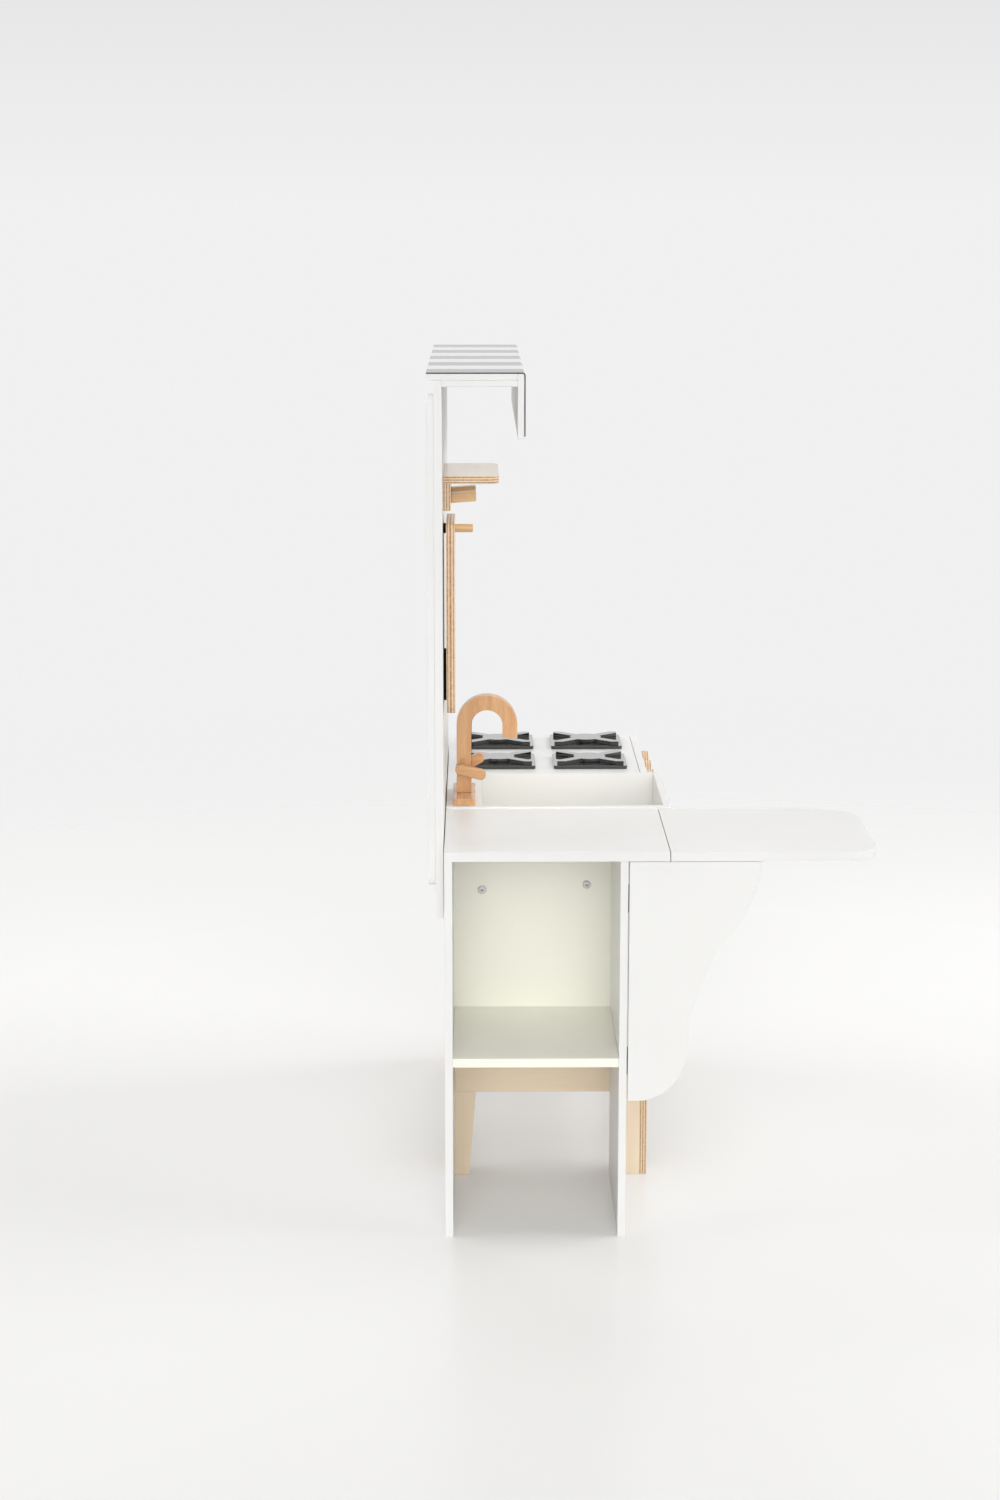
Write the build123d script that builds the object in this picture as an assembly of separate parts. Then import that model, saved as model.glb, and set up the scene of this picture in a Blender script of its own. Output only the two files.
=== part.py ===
from build123d import *
import math
import os

# A child's play kitchen with a side table, in millimetres.
# Working frame: x runs to the right from the table's outer side, y runs back from the
# cabinet's front plane, z runs up from the floor. The saved parts are centred in x and y.

# Board thicknesses
BOARD = 10.0  # painted boards of the table, cabinet, sink and wall
TOP = 12.0  # table top, leaf, table shelf, hob top and faucet deck
PLY = 10.0  # plywood of the base, wall shelf and peg rail

# Clearances
SEAM = 1.0  # open line between the table top and its leaf
DOOR_GAP = 1.5  # round an inset door
SLIDE_GAP = 0.5  # between flat faces that pass each other
SHADOW_GAP = 0.6  # between the hob top and the fascia
RUN = 0.05  # radial clearance of a pin that turns
SEAT = 0.02  # radial clearance of a pin that stays put

# Main sizes
TOTAL_HEIGHT = 1100.0
BODY_DEPTH = 283.0
TABLE_WIDTH = 247.0
TABLE_HEIGHT = 508.0
COUNTER_RISE = 2.5  # counter above the table top
SINK_WIDTH = 205.0  # inside
HOB_WIDTH = 268.0
BASE_HEIGHT = 156.0

# Side table
PANEL_SETBACK = 52.0  # front panel behind the seam
SHELF_TOP = 239.0
LEAF_LENGTH = 263.0  # seam to front edge
LEAF_CORNER = 38.0  # outer front corner
LEAF_INNER_CORNER = 60.0  # front corner beside the cabinet
JOIN_BOLT_FRONT_DROP = 87.5  # below the table top's underside
JOIN_BOLT_BACK_DROP = 94.0
JOIN_BOLT_FRONT = 43.0  # behind the front panel's face
JOIN_BOLT_BACK = 48.0  # in front of the back panel's face

# Swing bracket, measured from its hinge edge and down from the leaf
BRACKET_GAP = 1.3  # hinge edge to front panel
BRACKET_REACH = 166.0
BRACKET_DROP = 313.0
LOBE_DROP = 110.0  # where the upper lobe ends
LOBE_REACH = 114.0
LOBE_BULGE = 11.5
WAIST_DROP = 205.0  # where the hollow ends
WAIST_REACH = 78.0
WAIST_HOLLOW = 2.5
FOOT_DROP = 255.0  # where the round foot starts
FOOT_REACH = 74.0
FOOT_BULGE = 13.0
FOOT_FLAT = 20.0

# Small butt hinges of the leaf and the bracket
HINGE_LENGTH = 36.0
HINGE_PLATE = 1.2
HINGE_REACH = 18.0
KNUCKLE_RADIUS = 2.2
HINGE_RISE = 2.4  # pin axis from the plates' outer faces
HINGE_PIN_RADIUS = 1.0
LEAF_HINGE_INSET = 55.0  # hinge middle from the table's sides
BRACKET_HINGE_INSET = 50.0  # hinge middle from the bracket's top and bottom

# Sink
APRON_STEP = 18.0  # apron in front of the cabinet
SINK_DEPTH = 82.5
DECK_DEPTH = 48.0

# Hob and fascia
FASCIA_HEIGHT = 70.5
KNOB_RADIUS = 17.5
KNOB_LENGTH = 13.5
KNOB_PITCH = 66.0
KNOB_DROP = 28.5  # knob axis below the counter
KNOB_SCREW_RADIUS = 3.0
KNOB_SCREW_HEAD_RADIUS = 5.5
KNOB_SCREW_HEAD = 3.0
KNOB_SINK = 4.5  # depth of the hole for the screw's head
BURNER_WIDTH = 88.0  # along x
BURNER_DEPTH = 105.0  # along y
BURNER_CORNER = 4.0
BURNER_PLATE = 5.0
BURNER_SIDE_EDGE = 19.0  # hob side edge to burner
BURNER_BACK_EDGE = 20.0
BURNER_FRONT_EDGE = 27.0
GRATE_INSET = 5.0
GRATE_HEIGHT = 5.6
GRATE_HUB_RADIUS = 23.0
GRATE_ARM = 14.0

# Oven and cupboard
PIVOT_RADIUS = 2.5
PIVOT_DEPTH = 8.0
WINDOW_WIDTH = 160.0
WINDOW_HEIGHT = 125.0
WINDOW_CORNER = 14.0
WINDOW_LAP = 8.0
WINDOW_PANE = 3.0
WINDOW_DROP = 88.0  # window top below the door's top
HANDLE_DROP = 38.0  # handle axis below the door's top
HANDLE_LENGTH = 160.0
HANDLE_RADIUS = 7.0
HANDLE_STANDOFF = 26.0
HANDLE_POST_RADIUS = 5.0
HANDLE_POST_INSET = 18.0
OVEN_SHELF_RISE = 134.0  # its top above the cabinet's floor
OVEN_SHELF_SETBACK = 30.0
DOOR_KNOB_RADIUS = 13.0
DOOR_KNOB_LENGTH = 10.0
DOOR_KNOB_NECK = 7.0
DOOR_KNOB_STANDOFF = 11.0
DOOR_KNOB_EDGE = 24.0  # from the door's free edge
DOOR_KNOB_DROP = 42.0  # below the door's top

# Base frame
BASE_SETBACK = 11.0
RAIL_HEIGHT = 38.0
LEG_TOP = 39.0
LEG_BOTTOM = 30.0

# Wall
WALL_WIDTH = 648.0
WALL_LAP = 98.0  # wall's lower edge below the table top
WALL_GAP = 1.2
BATTEN = 9.0
BATTEN_WIDTH = 40.0
BATTEN_FOOT = 42.5  # above the wall's lower edge
BATTEN_HEAD = 18.0  # below the wall's upper edge
BATTEN_CORNER = 12.0
SCREW_RADIUS = 3.0
SCREW_HEAD_RADIUS = 5.5
SCREW_HEAD = 3.0
SCREW_BITE = 8.0
SCREW_DROP = 41.0  # below the table top's underside
SCREW_EDGE = 60.0  # from the wall's side edges
SCREW_SIDE = 40.0  # from the table's side panel and the sink's right wall
SPACER_RADIUS = 9.0

# Canopy
CANOPY_DEPTH = 122.0  # front of the film to the battens' back
FILM = 1.4
CANOPY_BOARD = 8.0
CANOPY_RAIL = 8.0
CANOPY_CORNER = 4.0  # outer radius of the film over the front edge
VALANCE_HEIGHT = 81.0  # top of the film to the valance's lower edge
FILM_RAISE = 3.0  # film's lower edge above the valance's

# Wall shelf, pegs and cutting board
SHELF_INSET = 80.0  # from the wall's left edge
SHELF_LENGTH = 173.0
SHELF_DEPTH = 71.0
SHELF_CORNER = 14.0
SHELF_DROP = 144.5  # underside below the canopy's top
PEG_RAIL_HEIGHT = 34.0
PEG_WIDTH = 18.0
PEG_HEIGHT = 12.4
PEG_LENGTH = 32.0
PEG_TILT = 4.0  # degrees
PEG_PITCH = 71.0
PEG_DROP = 22.5  # below the shelf
CUTTING_INSET = 62.0  # from the wall's left edge
CUTTING_WIDTH = 133.0
CUTTING_HEIGHT = 245.0
CUTTING_THICK = 11.0
CUTTING_CORNER = 18.0
CUTTING_DROP = 61.5  # its peg below the shelf
CUTTING_PEG_EDGE = 13.0  # peg axis below the board's top
CUTTING_PEG_RADIUS = 5.3
CUTTING_PEG_END = 23.0  # beyond the board
STANDOFF = 4.0
PEG_COLLAR_RADIUS = 6.5
BUMPER_WIDTH = 60.0
BUMPER_HEIGHT = 58.0
BUMPER_RISE = 13.0  # above the board's lower edge

# Faucet
FAUCET_INSET = 51.0  # from the basin's left wall
FAUCET_BASE = (106.0, 30.0, 9.0)
FAUCET_SETBACK = 24.0  # base plate's middle from the counter's back edge
FAUCET_BAND = 20.0  # square section of the spout
FAUCET_BEND = 31.0  # radius of the bend's middle line
FAUCET_STEM = 92.0  # base plate to the bend's centre
FAUCET_LEG = 17.5  # bend's centre to the outlet
AXLE_RADIUS = 4.0
AXLE_RISE = 32.0  # above the base plate
LEVER_LENGTH = 42.0
LEVER_HEIGHT = 14.0
LEVER_THICK = 12.0
LEVER_BORE = 9.0  # how deep the axle goes into a lever
LEVER_PIVOT = 12.0  # pivot from the lever's back end
LEVER_TILTS = (-14.0, 28.0)  # left and right lever, degrees up at the front

# Joining bolts
BOLT_RADIUS = 3.0
BOLT_HEAD_RADIUS = 5.5
BOLT_HEAD = 3.3
BOLT_SOCKET = 2.0  # half the socket's width across flats
NUT_WIDTH = 10.0
NUT_HEIGHT = 5.0

# Places that follow from the sizes
UNDER_TOP = TABLE_HEIGHT - TOP
COUNTER = TABLE_HEIGHT + COUNTER_RISE
UNDER_COUNTER = COUNTER - TOP
TABLE_SIDE_X = TABLE_WIDTH - 2 * BOARD
CABINET_X = TABLE_WIDTH - BOARD
BASIN_X = TABLE_WIDTH + BOARD
BASIN_END = BASIN_X + SINK_WIDTH
HOB_X = BASIN_END + BOARD
RIGHT = HOB_X + HOB_WIDTH
OVEN_X = HOB_X + BOARD
OVEN_END = RIGHT - BOARD
BACK_INNER = BODY_DEPTH - BOARD
FLOOR_TOP = BASE_HEIGHT + BOARD
BASIN_FLOOR = COUNTER - SINK_DEPTH
BASIN_UNDER = BASIN_FLOOR - BOARD
APRON_Y = -APRON_STEP
BASIN_Y = APRON_Y + BOARD
DECK_Y = BODY_DEPTH - DECK_DEPTH
FASCIA_Z = COUNTER - FASCIA_HEIGHT
PANEL_Y = PANEL_SETBACK
JOIN_BOLTS = (
    (PANEL_Y + JOIN_BOLT_FRONT, UNDER_TOP - JOIN_BOLT_FRONT_DROP),
    (BODY_DEPTH - JOIN_BOLT_BACK, UNDER_TOP - JOIN_BOLT_BACK_DROP),
)  # y, z
OVEN_SHELF_TOP = FLOOR_TOP + OVEN_SHELF_RISE
WALL_Y = BODY_DEPTH + WALL_GAP
WALL_BACK = WALL_Y + BOARD
REAR = WALL_BACK + BATTEN
WALL_X = (RIGHT - WALL_WIDTH) / 2
WALL_END = WALL_X + WALL_WIDTH
WALL_BOTTOM = TABLE_HEIGHT - WALL_LAP
SCREW_Z = UNDER_TOP - SCREW_DROP
SCREW_X = (
    WALL_X + SCREW_EDGE,
    TABLE_SIDE_X - SCREW_SIDE,
    BASIN_END - SCREW_SIDE,
    WALL_END - SCREW_EDGE,
)
CANOPY_Y = REAR - CANOPY_DEPTH
VALANCE_Y = CANOPY_Y + FILM
CANOPY_BOARD_Y = VALANCE_Y + CANOPY_BOARD
CANOPY_TOP = TOTAL_HEIGHT - FILM
CANOPY_UNDER = CANOPY_TOP - CANOPY_BOARD
VALANCE_BOTTOM = TOTAL_HEIGHT - VALANCE_HEIGHT
BATTEN_BOTTOM = WALL_BOTTOM + BATTEN_FOOT
BATTEN_TOP = CANOPY_UNDER - BATTEN_HEAD
SHELF_UNDER = TOTAL_HEIGHT - SHELF_DROP
PEG_Z = SHELF_UNDER - PEG_DROP
CUTTING_PEG_Z = SHELF_UNDER - CUTTING_DROP
CENTRE = Vector(RIGHT / 2, (REAR - LEAF_LENGTH) / 2, 0)

# Joint axes
LEAF_AXIS = (-SEAM / 2, UNDER_TOP + HINGE_RISE)  # y, z
BRACKET_AXIS = (BOARD + HINGE_RISE, PANEL_Y - HINGE_RISE)  # x, y
BRACKET_TOP = UNDER_TOP - SLIDE_GAP
OVEN_AXIS = (BOARD / 2, FLOOR_TOP + DOOR_GAP + BOARD / 2)  # y, z
CUPBOARD_AXIS = (TABLE_WIDTH + DOOR_GAP + BOARD / 2, BOARD / 2)  # x, y
KNOB_Z = COUNTER - KNOB_DROP
KNOB_X = [(HOB_X + RIGHT) / 2 + step * KNOB_PITCH for step in (-1, 0, 1)]
FAUCET_X = BASIN_X + FAUCET_INSET
FAUCET_Y = BODY_DEPTH - FAUCET_SETBACK
FAUCET_TOP = COUNTER + FAUCET_BASE[2]
AXLE_Z = FAUCET_TOP + AXLE_RISE
CUTTING_X = WALL_X + CUTTING_INSET + CUTTING_WIDTH / 2
CUTTING_BACK = WALL_Y - STANDOFF
CUTTING_FRONT = CUTTING_BACK - CUTTING_THICK
CUTTING_TOP = CUTTING_PEG_Z + CUTTING_PEG_EDGE
CUTTING_BOTTOM = CUTTING_TOP - CUTTING_HEIGHT

nodes = {}
hinge_plates = []
hinge_pins = []


def board(x, y, z):
    """A flat board between three pairs of limits."""
    size = [high - low for low, high in (x, y, z)]
    return Pos(x[0], y[0], z[0]) * Box(*size, align=(Align.MIN, Align.MIN, Align.MIN))


def rod(start, direction, length, radius):
    """A round rod that starts at a point and runs along a direction."""
    place = Plane(origin=start, z_dir=direction)
    return place * Cylinder(radius, length, align=(Align.CENTER, Align.CENTER, Align.MIN))


def side_plane(x):
    """The plane of a side view: sketch x is y, sketch y is z, and it grows along +x."""
    return Plane(origin=(x, 0, 0), x_dir=(0, 1, 0), z_dir=(1, 0, 0))


def front_plane(y):
    """The plane of a front view: sketch x is x, sketch y is z, and it grows along -y."""
    return Plane(origin=(0, y, 0), x_dir=(1, 0, 0), z_dir=(0, -1, 0))


def bowed(start, end, bulge):
    """An arc from start to end whose middle stands out to the right of the way by the bulge."""
    run = Vector(*end) - Vector(*start)
    middle = (Vector(*start) + Vector(*end)) / 2
    out = Vector(run.Y, -run.X).normalized() * bulge
    return ThreePointArc(start, middle + out, end)


def round_slab(width, height, corner):
    """A rectangle with round corners."""
    return RectangleRounded(width, height, corner)


def group(solids):
    """Separate solids that share one node."""
    return Compound(list(solids))


def hinge_half(spans, bore):
    """One half of a butt hinge along z: its plate reaches along x and lies on the +y side."""
    reach_start = KNUCKLE_RADIUS + SLIDE_GAP
    plate_y = (HINGE_RISE - HINGE_PLATE, HINGE_RISE)
    half = board((reach_start, HINGE_REACH), plate_y, (-HINGE_LENGTH / 2, HINGE_LENGTH / 2))
    for low, high in spans:
        half += board((0, reach_start), plate_y, (low, high))
        half += rod((0, 0, low), (0, 0, 1), high - low, KNUCKLE_RADIUS)
    return half - rod((0, 0, -HINGE_LENGTH), (0, 0, 1), 2 * HINGE_LENGTH, bore)


def hinge(fixed_places, moving_places, name):
    """Butt hinges: plates on the fixed piece, flaps on the moving one, and their pins."""
    third = HINGE_LENGTH / 6
    ends = [(-HINGE_LENGTH / 2, -third - SLIDE_GAP), (third + SLIDE_GAP, HINGE_LENGTH / 2)]
    plate = hinge_half(ends, HINGE_PIN_RADIUS + SEAT)
    flap = hinge_half([(-third, third)], HINGE_PIN_RADIUS + RUN)
    pin = Cylinder(HINGE_PIN_RADIUS, HINGE_LENGTH)
    nodes[name + "_hinge_flaps"] = group(place * flap for place in moving_places)
    hinge_plates.extend(place * plate for place in fixed_places)
    hinge_pins.extend(place * pin for place in fixed_places)


def side_table():
    """The open table unit: top, panels, side, shelf and the bolts that join it to the cabinet."""
    span = (0, TABLE_SIDE_X)
    inside = (PANEL_Y + BOARD, BACK_INNER)
    side = board((TABLE_SIDE_X, CABINET_X), (PANEL_Y, BODY_DEPTH), (BASE_HEIGHT, UNDER_TOP))
    front = board(span, (PANEL_Y, PANEL_Y + BOARD), (0, UNDER_TOP))
    back = board(span, (BACK_INNER, BODY_DEPTH), (0, UNDER_TOP))
    nodes["table_front_panel"] = front
    nodes["table_back_panel"] = back - wall_screw_holes()
    nodes["table_shelf"] = board(span, inside, (SHELF_TOP - TOP, SHELF_TOP))
    holes = [rod((0, *place), (1, 0, 0), RIGHT, BOLT_RADIUS + SEAT) for place in JOIN_BOLTS]
    nodes["table_side_panel"] = side - holes
    left = board((CABINET_X, TABLE_WIDTH), (0, BODY_DEPTH), (FLOOR_TOP, UNDER_TOP))
    nodes["cabinet_left_side"] = left - holes
    joint_length = 2 * BOARD + NUT_HEIGHT
    bolts = []
    nuts = []
    for place in JOIN_BOLTS:
        shank = rod((TABLE_SIDE_X, *place), (1, 0, 0), joint_length, BOLT_RADIUS)
        head = rod((TABLE_SIDE_X, *place), (-1, 0, 0), BOLT_HEAD, BOLT_HEAD_RADIUS)
        head = fillet(head.edges().group_by(Axis.X)[0], BOLT_HEAD * 0.6)
        outer = Plane(origin=(TABLE_SIDE_X - BOLT_HEAD, *place), z_dir=(1, 0, 0))
        socket = outer * extrude(RegularPolygon(BOLT_SOCKET, 6, major_radius=False), BOLT_SOCKET)
        bolts.append(shank + head - socket)
        seat = Plane(origin=(TABLE_WIDTH, *place), z_dir=(1, 0, 0))
        nut = extrude(RegularPolygon(NUT_WIDTH / 2, 6, major_radius=False), NUT_HEIGHT)
        nut -= Cylinder(BOLT_RADIUS + SEAT, 4 * NUT_HEIGHT)
        nuts.append(seat * nut)
    nodes["joining_bolts"] = group(bolts)
    nodes["joining_nuts"] = group(nuts)


def table_leaf():
    """Table top and drop leaf with hinges let into their undersides."""
    top = board((0, TABLE_WIDTH), (0, BODY_DEPTH), (UNDER_TOP, TABLE_HEIGHT))
    leaf_width = TABLE_WIDTH - 2 * SLIDE_GAP
    leaf_length = LEAF_LENGTH - SEAM
    outline = Pos(leaf_width / 2, -SEAM - leaf_length / 2) * Rectangle(leaf_width, leaf_length)
    for corner, radius in ((0, LEAF_CORNER), (-1, LEAF_INNER_CORNER)):
        front_corners = outline.vertices().group_by(Axis.Y)[0].sort_by(Axis.X)
        outline = fillet(front_corners[corner], radius)
    leaf = Pos(0, 0, UNDER_TOP) * extrude(outline, TOP)
    fixed_places = []
    moving_places = []
    reach = HINGE_REACH + SEAM
    notch = KNUCKLE_RADIUS + SLIDE_GAP
    for x in (LEAF_HINGE_INSET, TABLE_WIDTH - LEAF_HINGE_INSET):
        origin = (x, *LEAF_AXIS)
        fixed_places.append(Plane(origin=origin, x_dir=(0, 1, 0), z_dir=(-1, 0, 0)))
        moving_places.append(Plane(origin=origin, x_dir=(0, -1, 0), z_dir=(1, 0, 0)))
        half = HINGE_LENGTH / 2 + SLIDE_GAP
        bed = (UNDER_TOP, UNDER_TOP + HINGE_PLATE)
        pocket = board((x - half, x + half), (LEAF_AXIS[0] - reach, LEAF_AXIS[0] + reach), bed)
        knuckle_room = board(
            (x - half, x + half),
            (LEAF_AXIS[0] - notch, LEAF_AXIS[0] + notch),
            (UNDER_TOP, LEAF_AXIS[1] + notch),
        )
        top = top - pocket - knuckle_room
        leaf = leaf - pocket - knuckle_room
    nodes["table_top"] = top
    nodes["table_leaf"] = leaf
    hinge(fixed_places, moving_places, "leaf")


def leaf_bracket():
    """The board that swings out under the leaf, with a lobed outline."""
    edge = PANEL_Y - BRACKET_GAP

    def at(reach, drop):
        return (edge - reach, BRACKET_TOP - drop)

    tip = at(BRACKET_REACH, 0)
    lobe = at(LOBE_REACH, LOBE_DROP)
    waist = at(WAIST_REACH, WAIST_DROP)
    foot = at(FOOT_REACH, FOOT_DROP)
    toe = at(FOOT_FLAT, BRACKET_DROP)
    outline = [
        Line(at(0, 0), tip),
        bowed(tip, lobe, LOBE_BULGE),
        bowed(lobe, waist, -WAIST_HOLLOW),
        Line(waist, foot),
        bowed(foot, toe, FOOT_BULGE),
        Line(toe, at(0, BRACKET_DROP)),
        Line(at(0, BRACKET_DROP), at(0, 0)),
    ]
    nodes["leaf_bracket"] = side_plane(0) * extrude(make_face(outline), BOARD)
    fixed_places = []
    moving_places = []
    low = BRACKET_TOP - BRACKET_DROP + BRACKET_HINGE_INSET
    high = BRACKET_TOP - BRACKET_HINGE_INSET
    for z in (low, high):
        origin = (*BRACKET_AXIS, z)
        fixed_places.append(Plane(origin=origin, x_dir=(1, 0, 0), z_dir=(0, 0, 1)))
        moving_places.append(Plane(origin=origin, x_dir=(0, -1, 0), z_dir=(0, 0, -1)))
    hinge(fixed_places, moving_places, "bracket")


def carcass():
    """Cabinet floor, divider, right side and back round the oven and the cupboard."""
    profile = [
        (0, FLOOR_TOP),
        (0, FASCIA_Z),
        (BOARD, FASCIA_Z),
        (BOARD, UNDER_COUNTER),
    ]
    upright = Polyline(*profile, (BODY_DEPTH, UNDER_COUNTER), (BODY_DEPTH, FLOOR_TOP), close=True)
    right = side_plane(OVEN_END) * extrude(make_face(upright), BOARD)
    upright = Polyline(*profile, (BACK_INNER, UNDER_COUNTER), (BACK_INNER, FLOOR_TOP), close=True)
    divider = side_plane(HOB_X) * extrude(make_face(upright), BOARD)
    pivot_length = OVEN_END - OVEN_X + 2 * PIVOT_DEPTH
    bore_start = (OVEN_X - PIVOT_DEPTH, *OVEN_AXIS)
    bore = rod(bore_start, (1, 0, 0), pivot_length, PIVOT_RADIUS + RUN)
    nodes["cabinet_right_side"] = right - bore
    nodes["cabinet_divider"] = divider - bore
    floor = board((CABINET_X, RIGHT), (0, BODY_DEPTH), (BASE_HEIGHT, FLOOR_TOP))
    hole = rod((*CUPBOARD_AXIS, FLOOR_TOP - PIVOT_DEPTH), (0, 0, 1), BOARD, PIVOT_RADIUS + RUN)
    nodes["cabinet_floor"] = floor - hole
    back = board((TABLE_WIDTH, OVEN_END), (BACK_INNER, BODY_DEPTH), (FLOOR_TOP, UNDER_COUNTER))
    nodes["cabinet_back"] = back - sink_sides() - wall_screw_holes()
    shelf_y = (OVEN_SHELF_SETBACK, BACK_INNER)
    shelf_z = (OVEN_SHELF_TOP - BOARD, OVEN_SHELF_TOP)
    nodes["oven_shelf"] = board((OVEN_X, OVEN_END), shelf_y, shelf_z)


def sink_sides():
    """The basin's left and right walls; the door's upper pivot turns in the left one."""
    y = (BASIN_Y, BODY_DEPTH)
    z = (BASIN_UNDER, COUNTER)
    left = board((TABLE_WIDTH, BASIN_X), y, z)
    left -= rod((*CUPBOARD_AXIS, BASIN_UNDER), (0, 0, 1), PIVOT_DEPTH, PIVOT_RADIUS + RUN)
    return [left, board((BASIN_END, HOB_X), y, z)]


def sink():
    """An apron-front box basin with the faucet deck behind it."""
    inside = (BASIN_X, BASIN_END)
    nodes["sink_side_walls"] = group(sink_sides())
    nodes["sink_apron"] = board((TABLE_WIDTH, HOB_X), (APRON_Y, BASIN_Y), (BASIN_UNDER, COUNTER))
    nodes["sink_floor"] = board(inside, (BASIN_Y, DECK_Y + BOARD), (BASIN_UNDER, BASIN_FLOOR))
    nodes["sink_back_wall"] = board(inside, (DECK_Y, DECK_Y + BOARD), (BASIN_FLOOR, UNDER_COUNTER))
    nodes["faucet_deck"] = board(inside, (DECK_Y, BODY_DEPTH), (UNDER_COUNTER, COUNTER))


def grate():
    """A flat pan support: a round hub with four arms that reach the corners."""
    size = (BURNER_WIDTH - 2 * GRATE_INSET, BURNER_DEPTH - 2 * GRATE_INSET)
    slope = math.degrees(math.atan2(size[1], size[0]))
    plan = Circle(GRATE_HUB_RADIUS)
    for angle in (slope, -slope):
        plan += Rot(0, 0, angle) * Rectangle(math.hypot(*size), GRATE_ARM)
    return extrude(plan & Rectangle(*size), GRATE_HEIGHT)


def hob():
    """Hob top, fascia and four burners."""
    hob_y = (BOARD + SHADOW_GAP, BODY_DEPTH)
    nodes["hob_top"] = board((HOB_X, RIGHT), hob_y, (UNDER_COUNTER, COUNTER))
    fascia = board((HOB_X, RIGHT), (0, BOARD), (FASCIA_Z, COUNTER))
    for x in KNOB_X:
        fascia -= rod((x, 0, KNOB_Z), (0, 1, 0), BOARD, KNOB_SCREW_RADIUS + SEAT)
    nodes["fascia"] = fascia
    inset_x = BURNER_SIDE_EDGE + BURNER_WIDTH / 2
    columns = (HOB_X + inset_x, RIGHT - inset_x)
    half = BURNER_DEPTH / 2
    rows = (BURNER_FRONT_EDGE + half, BODY_DEPTH - BURNER_BACK_EDGE - half)
    spots = [Pos(x, y, COUNTER) for x in columns for y in rows]
    plate = extrude(round_slab(BURNER_WIDTH, BURNER_DEPTH, BURNER_CORNER), BURNER_PLATE)
    support = Pos(0, 0, BURNER_PLATE) * grate()
    nodes["burner_plates"] = group(spot * plate for spot in spots)
    nodes["burner_grates"] = group(spot * support for spot in spots)


def knobs():
    """Three turning knobs, each on a screw that is fixed in the fascia."""
    front = -SLIDE_GAP - KNOB_LENGTH
    seat = front + KNOB_SINK
    head_back = seat - SLIDE_GAP
    screws = []
    for name, x in zip(("left", "middle", "right"), KNOB_X):
        knob = rod((x, front, KNOB_Z), (0, 1, 0), KNOB_LENGTH, KNOB_RADIUS)
        knob -= rod((x, front, KNOB_Z), (0, 1, 0), KNOB_LENGTH, KNOB_SCREW_RADIUS + RUN)
        knob -= rod((x, front, KNOB_Z), (0, 1, 0), KNOB_SINK, KNOB_SCREW_HEAD_RADIUS + SLIDE_GAP)
        nodes["knob_" + name] = knob
        screw = rod((x, head_back, KNOB_Z), (0, 1, 0), BOARD - head_back, KNOB_SCREW_RADIUS)
        screw += rod((x, head_back, KNOB_Z), (0, -1, 0), KNOB_SCREW_HEAD, KNOB_SCREW_HEAD_RADIUS)
        screws.append(screw)
    nodes["knob_screws"] = group(screws)


def oven_door():
    """A drop-down door with a window, a bar handle and two pivot pins."""
    x = (OVEN_X + DOOR_GAP, OVEN_END - DOOR_GAP)
    top = FASCIA_Z - DOOR_GAP
    middle = (x[0] + x[1]) / 2
    door = board(x, (0, BOARD), (OVEN_AXIS[1], top))
    door += rod((x[0], *OVEN_AXIS), (1, 0, 0), x[1] - x[0], BOARD / 2)
    window = Pos(middle, top - WINDOW_DROP - WINDOW_HEIGHT / 2)
    hole = window * round_slab(WINDOW_WIDTH, WINDOW_HEIGHT, WINDOW_CORNER)
    rim = (WINDOW_WIDTH + 2 * WINDOW_LAP, WINDOW_HEIGHT + 2 * WINDOW_LAP)
    seat = window * round_slab(*rim, WINDOW_CORNER + WINDOW_LAP)
    pane = front_plane(BOARD) * extrude(seat, WINDOW_PANE)
    door = door - front_plane(BOARD) * extrude(hole, BOARD) - pane
    pins = []
    for edge, inward in ((x[0], 1), (x[1], -1)):
        length = DOOR_GAP + 2 * PIVOT_DEPTH
        start = (edge - inward * (DOOR_GAP + PIVOT_DEPTH), *OVEN_AXIS)
        pins.append(rod(start, (inward, 0, 0), length - SLIDE_GAP, PIVOT_RADIUS))
        door -= rod((edge, *OVEN_AXIS), (inward, 0, 0), PIVOT_DEPTH, PIVOT_RADIUS + SEAT)
    nodes["oven_door"] = door
    nodes["oven_window"] = pane
    nodes["oven_pivot_pins"] = group(pins)
    bar_z = top - HANDLE_DROP
    bar_start = (middle - HANDLE_LENGTH / 2, -HANDLE_STANDOFF, bar_z)
    bar = rod(bar_start, (1, 0, 0), HANDLE_LENGTH, HANDLE_RADIUS)
    handle = fillet(bar.edges().filter_by(GeomType.CIRCLE), HANDLE_RADIUS / 3)
    for side in (-1, 1):
        post_x = middle + side * (HANDLE_LENGTH / 2 - HANDLE_POST_INSET)
        handle += rod((post_x, 0, bar_z), (0, -1, 0), HANDLE_STANDOFF, HANDLE_POST_RADIUS)
    nodes["oven_handle"] = handle


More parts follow.
